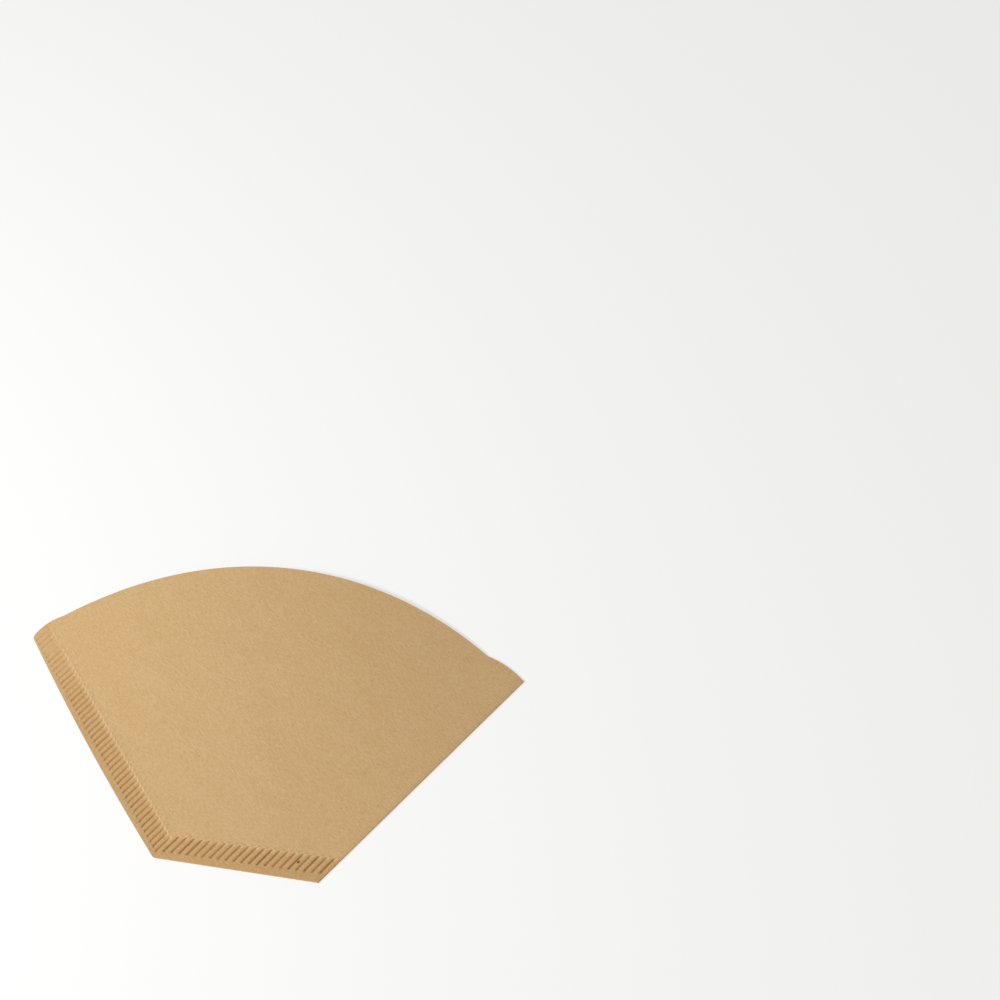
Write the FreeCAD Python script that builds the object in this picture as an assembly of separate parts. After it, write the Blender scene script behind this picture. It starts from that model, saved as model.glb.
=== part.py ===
import FreeCAD, Part
import math
import os

# Cone coffee filter, folded flat: one sheet of paper folded down one side, its two plies
# crimped together along the other side and along the bottom. It lies on its lower ply.
# Millimetres, +Z up. The bottom seam faces -Y, the mouth +Y, the crimped side -X.

# Outline of the flat filter
bottom_edge = 50.0        # cut edge of the bottom seam
seam_edge = 84.0          # cut edge of the side seam, end to end
fold_edge = 89.4          # folded edge
seam_lean = 41.3          # degrees from the centre line
fold_lean = 36.8
seam_bow = 1.0            # outward bow of the side seam's cut edge
mouth_height = 98.6       # bottom edge to the crown of the mouth
mouth_radius = 115.0
mouth_shift = 1.0         # crown, to the fold side of the bottom edge's middle
ear_run = 11.6            # seam edge to where the mouth's arc gives way to the ear
ear_bow = 1.1
fold_corner_run = 14.0    # the same at the folded corner
fold_corner_bow = 0.9
corner_round = 1.6        # cut corners of the side seam

# Paper
paper_thick = 0.18
mouth_gape = 3.0          # rise of the upper ply at the middle of the mouth
bend_leg = 1.0            # flat paper beside the fold's half-round bend

# Crimped seams: bars pressed through both plies, all one way. The crimp is set out from the
# cut corner of the two seams, and sits a little askew on the cut sheet.
crimp_skew = 0.67         # degrees, counterclockwise
crimp_depth = 0.25
bar_width = 0.9           # at the paper's face
bar_wall_run = 0.22       # how far a bar's sloping walls lean in
bar_chamfer = 0.25        # corners of a bar's ends
seam_margin = 1.4         # side seam: plain paper outside the bars
seam_bar_reach = 5.95     # across the seam, end to end
seam_bar_pitch = 1.7615   # along the seam
seam_bar_start = 1.06     # first bar, from the corner
bottom_margin = 2.0
bottom_bar_reach = 5.3
bottom_bar_pitch = 2.365
bottom_bar_start = 2.74
seam_rim = 0.6            # pressed paper inside the bars
mouth_rim = 1.5           # plain paper between the last bar and the mouth
seam_lap = 0.4            # overlap of a seam and the plies it joins
lap_step = 0.02           # drop of the upper ply where it leaves a seam

# Heights: the bars' undersides and the lower ply lie on the table, and the paper between
# the bars stands a crimp's depth above it
ply_pair = 2 * paper_thick
seam_top = crimp_depth + ply_pair
upper_top = seam_top - lap_step
fold_radius = seam_top / 2.0
overrun = 4.0             # past the outline, before it is cut


def vec(x, y, z=0.0):
    return FreeCAD.Vector(x, y, z)


def prism(wire_edges, low, high):
    face = Part.Face(Part.Wire(wire_edges))
    face.translate(vec(0, 0, low))
    return face.extrude(vec(0, 0, high - low))


def polygon(points, low, high):
    return prism(Part.makePolygon(points + [points[0]]).Edges, low, high)


def frustum(low_points, low, high_points, high):
    """Solid between two outlines with as many corners, its walls flat."""
    lows = [vec(p.x, p.y, low) for p in low_points]
    highs = [vec(p.x, p.y, high) for p in high_points]
    faces = [Part.Face(Part.makePolygon(ring + [ring[0]])) for ring in (lows, highs)]
    for i in range(len(lows)):
        wall = [lows[i - 1], lows[i], highs[i], highs[i - 1], lows[i - 1]]
        faces.append(Part.Face(Part.makePolygon(wall)))
    solid = Part.Solid(Part.Shell(faces))
    if solid.Volume < 0:
        solid.reverse()
    return solid


def turned(way):
    skew = math.radians(crimp_skew)
    return vec(way.x * math.cos(skew) - way.y * math.sin(skew),
               way.x * math.sin(skew) + way.y * math.cos(skew))


# Edge directions, from the bottom edge up to the mouth, and their inward normals
seam_dir = vec(-math.sin(math.radians(seam_lean)), math.cos(math.radians(seam_lean)))
fold_dir = vec(math.sin(math.radians(fold_lean)), math.cos(math.radians(fold_lean)))
seam_in = vec(seam_dir.y, -seam_dir.x)
fold_in = vec(-fold_dir.y, fold_dir.x)
along_x = vec(1, 0)

# The same directions on the crimp, turned by its skew
bar_dir = turned(fold_dir)
bar_in = turned(fold_in)
crimp_up = turned(seam_dir)
crimp_in = turned(seam_in)
crimp_x = turned(along_x)
crimp_y = turned(vec(0, 1))

seam_foot = vec(-bottom_edge / 2.0, 0)
fold_foot = vec(bottom_edge / 2.0, 0)
seam_tip = seam_foot + seam_dir * seam_edge
fold_tip = fold_foot + fold_dir * fold_edge


def line_at_height(foot, direction, y):
    return foot + direction * ((y - foot.y) / direction.y)


def meet(foot_a, dir_a, foot_b, dir_b):
    gap = foot_b - foot_a
    cross = dir_a.x * dir_b.y - dir_a.y * dir_b.x
    return foot_a + dir_a * ((gap.x * dir_b.y - gap.y * dir_b.x) / cross)


def arc_meets(foot, direction):
    """Where a line running up from foot crosses the mouth's main arc."""
    centre = vec(mouth_shift, mouth_height - mouth_radius)
    rel = foot - centre
    along = rel.dot(direction)
    reach = math.sqrt(along ** 2 - rel.dot(rel) + mouth_radius ** 2)
    return foot + direction * (reach - along)


def bowed(start, end, bow):
    """Shallow arc from start to end, bowed to the left of that direction."""
    chord = end - start
    side = vec(-chord.y, chord.x)
    side.normalize()
    return Part.Arc(start, (start + end) * 0.5 + side * bow, end).toShape()


# Outline prism, taller than the part
crown = vec(mouth_shift, mouth_height)
ear_end = arc_meets(seam_foot + seam_in * ear_run, seam_dir)
fold_end = arc_meets(fold_foot + fold_in * fold_corner_run, fold_dir)
outline = prism([
    Part.LineSegment(seam_foot, fold_foot).toShape(),
    Part.LineSegment(fold_foot, fold_tip).toShape(),
    bowed(fold_end, fold_tip, fold_corner_bow),
    Part.Arc(ear_end, crown, fold_end).toShape(),
    bowed(seam_tip, ear_end, ear_bow),
    bowed(seam_foot, seam_tip, seam_bow),
], -overrun, mouth_gape + overrun)


def upright_at(edge, point):
    ends = [v.Point for v in edge.Vertexes]
    return len(ends) == 2 and all(math.hypot(p.x - point.x, p.y - point.y) < 1e-6 for p in ends)


cut_corners = [e for e in outline.Edges if upright_at(e, seam_foot) or upright_at(e, seam_tip)]
outline = outline.makeFillet(corner_round, cut_corners)

# Lines that bound the plies: inside the seams and the fold's bend
seam_depth = seam_margin + seam_bar_reach + seam_rim
bottom_depth = bottom_margin + bottom_bar_reach + seam_rim
seam_line = seam_foot + crimp_in * (seam_depth - seam_lap)
bottom_line = seam_foot + crimp_y * (bottom_depth - seam_lap)
fold_line = fold_foot + fold_in * fold_radius
low_seam = meet(seam_line, crimp_up, bottom_line, crimp_x)
low_fold = meet(fold_line, fold_dir, bottom_line, crimp_x)
top_y = mouth_height + overrun
high_seam = line_at_height(seam_line, crimp_up, top_y)
high_fold = line_at_height(fold_line, fold_dir, top_y)

lower_ply = polygon([low_seam, low_fold, high_fold, high_seam], 0, paper_thick)


# The upper ply bows up towards the mouth. Its outer poles lie level along the seams and the
# fold, so it leaves them flat.
def knots(count, degree=3):
    inner = count - degree - 1
    values = [i / (inner + 1.0) for i in range(inner + 2)]
    mults = [degree + 1] + [1] * inner + [degree + 1]
    return values, mults


def pole_places(count, degree=3):
    values, mults = knots(count, degree)
    flat = [v for v, m in zip(values, mults) for _ in range(m)]
    return [sum(flat[i + 1:i + 1 + degree]) / degree for i in range(count)]


def rise(u, v):
    return mouth_gape * math.sin(math.pi * u) ** 2 * v ** 1.5


columns = pole_places(9)
rows = pole_places(7)
poles = []
for i, u in enumerate(columns):
    low = low_seam + (low_fold - low_seam) * u
    high = high_seam + (high_fold - high_seam) * u
    beside_edge = i < 2 or i > len(columns) - 3
    column = []
    for j, v in enumerate(rows):
        point = low + (high - low) * v
        lift = 0.0 if beside_edge or j < 2 else rise(u, v)
        column.append(vec(point.x, point.y, upper_top + lift))
    poles.append(column)
u_knots, u_mults = knots(len(columns))
v_knots, v_mults = knots(len(rows))
bow = Part.BSplineSurface()
bow.buildFromPolesMultsKnots(poles, u_mults, v_mults, u_knots, v_knots, False, False, 3, 3)
upper_ply = bow.toShape().extrude(vec(0, 0, -paper_thick))
if upper_ply.Volume < 0:
    upper_ply.reverse()

# The fold: a half-round bend with short legs, run along the folded edge
inner_radius = fold_radius - paper_thick
legs_end = fold_radius + bend_leg


def fold_point(inset, z):
    p = fold_foot - fold_dir * overrun + fold_in * inset
    return vec(p.x, p.y, z)


def fold_side(start, end):
    return Part.LineSegment(fold_point(*start), fold_point(*end)).toShape()


bend_section = [
    Part.Arc(fold_point(fold_radius, 0), fold_point(0, fold_radius),
             fold_point(fold_radius, seam_top)).toShape(),
    fold_side((fold_radius, seam_top), (legs_end, seam_top)),
    fold_side((legs_end, seam_top), (legs_end, seam_top - paper_thick)),
    fold_side((legs_end, seam_top - paper_thick), (fold_radius, seam_top - paper_thick)),
    Part.Arc(fold_point(fold_radius, seam_top - paper_thick),
             fold_point(fold_radius - inner_radius, fold_radius),
             fold_point(fold_radius, paper_thick)).toShape(),
    fold_side((fold_radius, paper_thick), (legs_end, paper_thick)),
    fold_side((legs_end, paper_thick), (legs_end, 0)),
    fold_side((legs_end, 0), (fold_radius, 0)),
]
bend = Part.Face(Part.Wire(bend_section)).extrude(fold_dir * (fold_edge + 2 * overrun))

# Seam bands, both plies pressed together
seam_outside = seam_foot - seam_in * overrun
seam_inside = seam_foot + crimp_in * seam_depth
bottom_inside = seam_foot + crimp_y * bottom_depth
bands = polygon([
    meet(seam_outside, seam_dir, vec(0, -overrun), along_x),
    line_at_height(fold_line, fold_dir, -overrun),
    meet(fold_line, fold_dir, bottom_inside, crimp_x),
    meet(seam_inside, crimp_up, bottom_inside, crimp_x),
    line_at_height(seam_inside, crimp_up, top_y),
    line_at_height(seam_outside, seam_dir, top_y),
], crimp_depth, seam_top)


def bar_outline(start, length, inset):
    """Corners of a bar, drawn in by inset on all sides."""
    half = bar_width / 2.0 - inset
    cut = bar_chamfer - (2 - math.sqrt(2)) * inset
    far = length - inset
    corners = [(inset, half - cut), (inset + cut, half), (far - cut, half), (far, half - cut)]
    corners += [(along, -side) for along, side in reversed(corners)]
    return [start + bar_dir * along + bar_in * side for along, side in corners]


def groove(start, length):
    """Pressed into the upper face. It runs on above the paper at the same slope."""
    slope = bar_wall_run / crimp_depth
    return frustum(bar_outline(start, length, bar_wall_run), ply_pair,
                   bar_outline(start, length, -lap_step * slope), seam_top + lap_step)


def rib(start, length):
    """Stands out of the lower face, down to the table."""
    slope = bar_wall_run / crimp_depth
    return frustum(bar_outline(start, length, bar_wall_run), 0,
                   bar_outline(start, length, -lap_step * slope), crimp_depth + lap_step)


seam_bar_length = seam_bar_reach / bar_dir.dot(crimp_in)
bottom_bar_length = bottom_bar_reach / bar_dir.dot(crimp_y)
seam_bars = int((seam_edge - mouth_rim - seam_bar_start) / seam_bar_pitch) + 1
fold_room = (bar_width / 2.0 + 2 * fold_radius) / fold_dir.y
last_bottom = bottom_edge + bottom_margin * fold_dir.x / fold_dir.y - fold_room
bottom_bars = int((last_bottom - bottom_bar_start) / bottom_bar_pitch) + 1
first_seam = seam_foot + crimp_in * seam_margin + crimp_up * seam_bar_start
first_bottom = seam_foot + crimp_y * bottom_margin + crimp_x * bottom_bar_start
bars = [(first_seam + crimp_up * (seam_bar_pitch * i), seam_bar_length)
        for i in range(seam_bars)]
bars += [(first_bottom + crimp_x * (bottom_bar_pitch * i), bottom_bar_length)
         for i in range(bottom_bars)]

filter_paper = lower_ply.fuse([bands, bend, upper_ply])
filter_paper = filter_paper.common(outline)
filter_paper = filter_paper.fuse([rib(*place) for place in bars])
filter_paper = filter_paper.cut([groove(*place) for place in bars])
filter_paper = filter_paper.removeSplitter()

# Origin under the middle of the outline
extent = outline.optimalBoundingBox(False, False)
filter_paper.translate(vec(-extent.Center.x, -extent.Center.y))
if len(filter_paper.Solids) == 1:
    filter_paper = filter_paper.Solids[0]

os.makedirs("parts", exist_ok=True)
filter_paper.exportStep("parts/filter_paper.step")
print("bars", seam_bars, "and", bottom_bars, "solids", len(filter_paper.Solids),
      "valid", filter_paper.isValid(), "volume", round(filter_paper.Volume, 1))
print("origin moved by", round(extent.Center.x, 4), round(extent.Center.y, 4))
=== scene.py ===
import math

import bmesh
import bpy
import numpy as np
from bpy.props import FloatProperty, FloatVectorProperty, IntProperty, PointerProperty
from mathutils import Matrix, Vector


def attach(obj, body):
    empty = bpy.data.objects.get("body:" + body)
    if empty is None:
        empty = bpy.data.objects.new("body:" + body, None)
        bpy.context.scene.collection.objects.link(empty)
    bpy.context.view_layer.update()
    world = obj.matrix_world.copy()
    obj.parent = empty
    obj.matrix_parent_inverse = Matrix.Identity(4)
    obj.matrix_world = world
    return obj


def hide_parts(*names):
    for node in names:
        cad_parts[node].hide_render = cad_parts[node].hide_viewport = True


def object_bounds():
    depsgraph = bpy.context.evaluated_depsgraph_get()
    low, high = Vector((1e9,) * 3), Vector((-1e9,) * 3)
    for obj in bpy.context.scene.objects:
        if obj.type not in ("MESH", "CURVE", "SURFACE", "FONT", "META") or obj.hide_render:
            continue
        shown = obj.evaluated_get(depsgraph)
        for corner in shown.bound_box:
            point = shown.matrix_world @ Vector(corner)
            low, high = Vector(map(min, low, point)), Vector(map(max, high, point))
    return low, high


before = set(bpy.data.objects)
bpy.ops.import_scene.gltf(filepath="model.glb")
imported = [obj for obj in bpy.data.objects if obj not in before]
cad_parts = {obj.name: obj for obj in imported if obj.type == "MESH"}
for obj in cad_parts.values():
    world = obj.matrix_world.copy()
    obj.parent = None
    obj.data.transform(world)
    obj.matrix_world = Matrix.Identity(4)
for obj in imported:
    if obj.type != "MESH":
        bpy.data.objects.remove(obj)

# The looks of a cone coffee filter, folded flat: one sheet of creped brown paper, folded down
# one side, its plies crimped together along the other side and along the bottom.
# Metres, +Z up. The bottom seam faces -Y, the mouth +Y, the crimped side -X.

bl_info = {
    "name": "Paper coffee filter",
    "version": (1, 0, 0),
    "blender": (4, 5, 0),
    "location": "View3D > Sidebar > Paper filter",
    "description": "Folds, crimps and finishes a flat cone coffee filter, with its stage",
    "category": "Object",
}

MM = 0.001
CAD_LOW, CAD_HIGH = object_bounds()
NODE = "filter_paper"
PHOTO_WIDTH = 1000          # pixels, of a square picture

# The sheet's mesh
FIELDS = ("from_fold", "along_bar", "upper", "across", "up")    # attributes for the crimp
# The paper's colour reads the distance to a cut edge, for lighter fibre with a painted highlight,
# and the seams' darkening, partly painted shade of the bars
LOOKS = ("edge_gap", "dense_and_shade")                                   # attributes for the paper
# Along a cut edge the lighter fibre carries a painted highlight of the edge catching the light
EDGE_LIP = 0.25 * MM        # width of the lighter fibre along a cut edge
PLY_NOTCH = 0.05 * MM       # how far the two plies' cut edges part
WALL_STEPS = 3              # faces over each wall of a bar, and over the inner rim
BODY_ROWS = (0.25, 0.5, 0.75)   # rows along a bar, between its ends' walls
BAND_ROW = 16               # the row on the seams' inner edge, as rows() lays them
PANEL_ROWS = 34             # faces from there to the mouth
TIP_STEPS = 10              # columns beyond the last bar, closer and closer
BEND_STEPS = 8              # faces round the fold
FINE_RUN = 4.0 * MM         # all columns go on to the mouth from here to the seam's end
NEAR_COLUMN = 0.03 * MM     # a column this near to the seam's end gives way to it
HALVINGS = 50               # steps of the search for the seam's end
END_ROOM = 0.1 * MM         # the two seams' last bars keep straight ends this far out
SEAM_STEPS = 160            # points along the side seam's cut edge
EAR_STEPS = 40
MOUTH_STEPS = 200
CORNER_STEPS = 24
SHARP_ANGLE = math.radians(50.0)    # shading stays smooth over edges blunter than this
MERGE = 0.0001 * MM         # points closer than this become one

# The crimp and the lie of the upper ply
BEAD_HALF = 0.6             # half width of a bead's crown, of a bar's half width
BEAD_PLACE = 1.0 / 3.0      # crown of the bead, of the way over the inner rim
FAINT_LOSS = 0.9            # depth that a faint bar lacks
BOW_POWER = 1.5             # the rise towards the mouth grows with this power

# The paper's unevenness: shares of crepe, fibres and clouds, and how far the sum strays
CREPE_SHARE = 0.42
FIBRE_SHARE = 0.47
CLOUD_SHARE = 0.11
CLOUD_DRAW = 3.0            # length of a cloud, of its width
TONE_MIDDLE = 0.5           # the pulp's own colour
TONE_SPREAD = 0.13          # from there to the palest or the darkest pulp
# The very edge is lighter fibre with a painted highlight
EDGE_FIBRE_AND_HIGHLIGHT = 0.6            # lighter fibre at the very edge
CREPE_RELIEF = 0.8          # of the relief's height
FIBRE_RELIEF = 0.3

# Specks of bark
BARK_FROM = 0.8             # cells above this chance hold a speck
SPECK_LEAST = 0.012         # radius of a speck, of its cell
SPECK_MORE = 0.02           # and what chance adds
SPECK_SHARE = 0.35          # how dark a speck is
GRAIN_WIDTH = 2.0 / 3.0     # width of the one grain, of its length
GRAIN_OUTSIDE = 1.25        # where its soft edge begins, of its radius
GRAIN_INSIDE = 0.8          # and where it ends
GRAIN_SHARE = 0.95          # how dark it is

FLOOR_WHITE = 0.65          # share of the floor that is its own white to the camera

MATH = "ShaderNodeMath"
FACTOR, COLOUR_A, COLOUR_B = 0, 6, 7    # inputs of a Mix node for colours
LEAST, MOST = 2, 3                      # inputs of a Random Value node for numbers


def linear(hex_colour):
    """The linear colour of an sRGB hex value."""
    parts = [int(hex_colour[i:i + 2], 16) / 255.0 for i in (0, 2, 4)]
    return tuple(p / 12.92 if p <= 0.04045 else ((p + 0.055) / 1.055) ** 2.4 for p in parts)


def length(name, description, millimetres):
    return FloatProperty(name=name, description=description, default=millimetres * MM,
                         subtype="DISTANCE", unit="LENGTH", precision=5)


def figure(name, description, value, **limits):
    return FloatProperty(name=name, description=description, default=value, **limits)


def whole(name, description, value):
    return IntProperty(name=name, description=description, default=value, min=0)


def angle(name, description, degrees):
    return FloatProperty(name=name, description=description, default=math.radians(degrees),
                         subtype="ANGLE", unit="ROTATION")


def colour(name, description, hex_colour):
    return FloatVectorProperty(name=name, description=description, subtype="COLOR", size=3,
                               min=0.0, max=1.0, default=linear(hex_colour))


class FilterOutline(bpy.types.PropertyGroup):
    """Cut and fold of the flat filter"""
    bottom_edge: length("Bottom edge", "Cut edge of the bottom seam", 50.0)
    seam_edge: length("Side seam", "Cut edge of the side seam, end to end", 84.0)
    fold_edge: length("Fold", "Length of the folded edge", 89.4)
    seam_lean: angle("Seam lean", "Side seam, from the centre line", 41.3)
    fold_lean: angle("Fold lean", "Folded edge, from the centre line", 36.8)
    seam_bow: length("Seam bow", "Outward bow of the side seam's cut edge", 1.0)
    mouth_height: length("Height", "Bottom edge to the crown of the mouth", 98.6)
    mouth_radius: length("Mouth radius", "Radius of the mouth's arc", 115.0)
    mouth_shift: length("Crown shift", "Crown of the mouth, towards the fold", 1.0)
    ear_run: length("Ear run", "Seam edge to where the mouth gives way to the ear", 11.6)
    ear_bow: length("Ear bow", "Outward bow of the ear's cut edge", 1.1)
    corner_run: length("Folded corner run", "Fold to where the mouth's arc begins", 14.0)
    corner_bow: length("Folded corner bow", "Outward bow of the folded corner", 0.9)
    corner_round: length("Corner radius", "Cut corners of the side seam", 1.6)
    thickness: length("Paper", "Thickness of one ply", 0.18)


class CrimpSizes(bpy.types.PropertyGroup):
    """Bars pressed through both plies along the seams, all one way"""
    skew: angle("Skew", "Crimp on the cut sheet, turned about the cut corner", 0.67)
    depth: length("Depth", "How far a bar is pressed into the upper face", 0.3)
    relief: length("Relief", "How far it stands out of the lower face", 0.25)
    bar_width: length("Bar width", "At the paper's face", 1.0)
    wall_run: length("Wall run", "How far a bar's rounded walls lean in", 0.4)
    side_margin: length("Side margin", "Plain paper outside the side seam's bars", 1.4)
    side_reach: length("Side reach", "Side seam's bars, across the seam", 5.95)
    side_pitch: length("Side pitch", "Along the side seam", 1.7615)
    side_start: length("Side start", "First bar, from the cut corner", 1.06)
    foot_margin: length("Bottom margin", "Plain paper outside the bottom seam's bars", 2.0)
    foot_reach: length("Bottom reach", "Bottom seam's bars, across the seam", 5.3)
    foot_pitch: length("Bottom pitch", "Along the bottom seam", 2.365)
    foot_start: length("Bottom start", "First bar, from the cut corner", 2.74)
    inner_rim: length("Inner rim", "Pressed paper inside the bars", 0.6)
    bead_share: figure("Bead share", "Bead beyond a bar, of the bar's depth", 0.4, min=0.0)
    # The bars are darkened beyond the rest of the seam by this factor: painted shade of their
    # grooves
    bar_shade: figure("Bar shade", "Pulp in a bar, denser than the seam by this factor", 2.0,
                        min=1.0, max=2.0)
    mouth_rim: length("Mouth rim", "Plain paper between the last bar and the mouth", 1.5)
    spread: figure("Spread", "Share by which a bar may be shallower", 0.35, min=0.0, max=1.0)
    foot_share: figure("Bottom share", "Depth of the bottom bars, of the side bars' depth", 1.45,
                       min=0.0)
    fade_from: whole("Fade from", "Side bar from which they are pressed less and less", 26)
    mouth_share: figure("Mouth share", "Depth that is left of the last bar at the mouth", 0.45,
                        min=0.0, max=1.0)
    faint_first: whole("First faint bar", "Side bar counted from the bottom, hardly pressed", 43)
    faint_last: whole("Last faint bar", "The last of them", 44)
    seed: whole("Seed", "Choice of the bars' depths", 4)


class PaperLook(bpy.types.PropertyGroup):
    """Colour, crepe and lie of the unbleached paper"""
    pulp: colour("Pulp", "Unbleached pulp at large", "CBA877")
    pale_pulp: colour("Pale pulp", "Where the sheet is thinner", "D3B48A")
    dark_pulp: colour("Dark pulp", "Where it is denser", "C19C69")
    # Painted shade: the seams take this tint, the bars' grooves most of all, partly the pressed
    # pulp's own colour
    pressed_and_shade_tint: colour("Pressed and shade tint", "What the bars' dense pulp sends back", "E6D8C4")
    # Lighter cut fibre with a painted highlight where the cut edges catch the light
    cut_fibre_and_highlight: colour("Cut fibre and highlight", "Along the cut edges", "DDBF92")
    bark: colour("Bark", "Specks of bark in the pulp", "5C3D1C")
    crepe_pitch: length("Crepe pitch", "From one crepe line to the next", 0.34)
    crepe_run: length("Crepe run", "Length of a crepe line", 1.5)
    crepe_turn: angle("Crepe turn", "Crepe lines, turned from square to the fold", 4.7)
    crepe_height: length("Crepe height", "Relief of the crepe", 0.17)
    fibre_size: length("Fibre size", "Loose fibres of the surface", 0.24)
    cloud_size: length("Cloud size", "Size of the pulp's thick and thin patches", 7.0)
    bark_spacing: length("Bark spacing", "Cells that may hold a speck of bark", 8.0)
    grain_x: length("Grain X", "Place of the one grain of bark that stands out", 18.85)
    grain_y: length("Grain Y", "Its place", -44.2)
    grain_length: length("Grain length", "Its length", 1.0)
    roughness: figure("Roughness", "Uncoated absorbent paper", 0.92, min=0.0, max=1.0,
                      subtype="FACTOR")
    cockle_height: length("Cockle height", "Gentle waves of the upper ply", 0.12)
    cockle_size: length("Cockle size", "From one wave to the next", 26.0)


class StageLook(bpy.types.PropertyGroup):
    """Floor, lights and camera"""
    floor: colour("Floor", "Matt pale floor", "F2F1EE")
    floor_size: length("Floor size", "Side of the square floor", 6000.0)
    sky: figure("Sky", "Strength of the even light all round", 0.38, min=0.0)
    key: figure("Key", "Share of a plain level that the key light gives", 0.62, min=0.0)
    key_distance: length("Key distance", "From the filter to the key light", 650.0)
    key_size: length("Key size", "Diameter of the key light", 180.0)
    key_height: angle("Key height", "Key light above the floor", 40.0)
    key_heading: angle("Key heading", "Key light, from +X round to +Y", 200.0)
    camera_x: length("Camera X", "Camera's place", 63.2)
    camera_y: length("Camera Y", "Camera's place", -127.7)
    camera_z: length("Camera Z", "Camera's place", 388.4)
    camera_down: angle("Camera pitch", "Below the horizon", 61.4)
    camera_heading: angle("Camera heading", "From +Y round to -X", 8.08)
    camera_roll: angle("Camera roll", "Round the line of sight", 0.41)
    focal_pixels: figure("Focal length", "In pixels of the picture", 1288.0)
    centre_right: figure("Centre right", "Line of sight in the picture, in pixels", 409.0)
    centre_down: figure("Centre down", "Line of sight in the picture, in pixels", 501.0)


def clamped(value):
    """Held between 0 and 1."""
    return min(1.0, max(0.0, value))


def eased(value):
    """Eases from 0 to 1."""
    s = clamped(value)
    return s * s * (3.0 - 2.0 * s)


def leaning(lean):
    """Unit direction up the sheet, leaning towards +X."""
    return Vector((math.sin(lean), math.cos(lean)))


def turned(way, turn):
    """A direction turned anticlockwise."""
    c, s = math.cos(turn), math.sin(turn)
    return Vector((way.x * c - way.y * s, way.x * s + way.y * c))


def bowed(start, end, bow, count):
    """Points of a shallow arc, bowed to the left of the way from start to end."""
    chord = end - start
    side = Vector((-chord.y, chord.x)).normalized()
    steps = [i / count for i in range(count + 1)]
    return [start + chord * s + side * (4.0 * bow * s * (1.0 - s)) for s in steps]


def rounded(before, after, radius, count=10):
    """Joins two runs of points that meet at a corner by an arc of that radius."""
    corner = before[-1]
    back = (before[-2] - corner).normalized()
    on = (after[1] - corner).normalized()
    half = math.acos(max(-1.0, min(1.0, back.dot(on)))) / 2.0
    cut = radius / math.tan(half)
    centre = corner + (back + on).normalized() * (radius / math.sin(half))
    start = corner + back * cut - centre
    end = corner + on * cut - centre
    turn = -start.angle_signed(end)
    arc = [centre + turned(start, turn * i / count) for i in range(count + 1)]
    kept_before = [p for p in before if (p - corner).length > cut]
    kept_after = [p for p in after if (p - corner).length > cut]
    return kept_before + arc + kept_after


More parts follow.
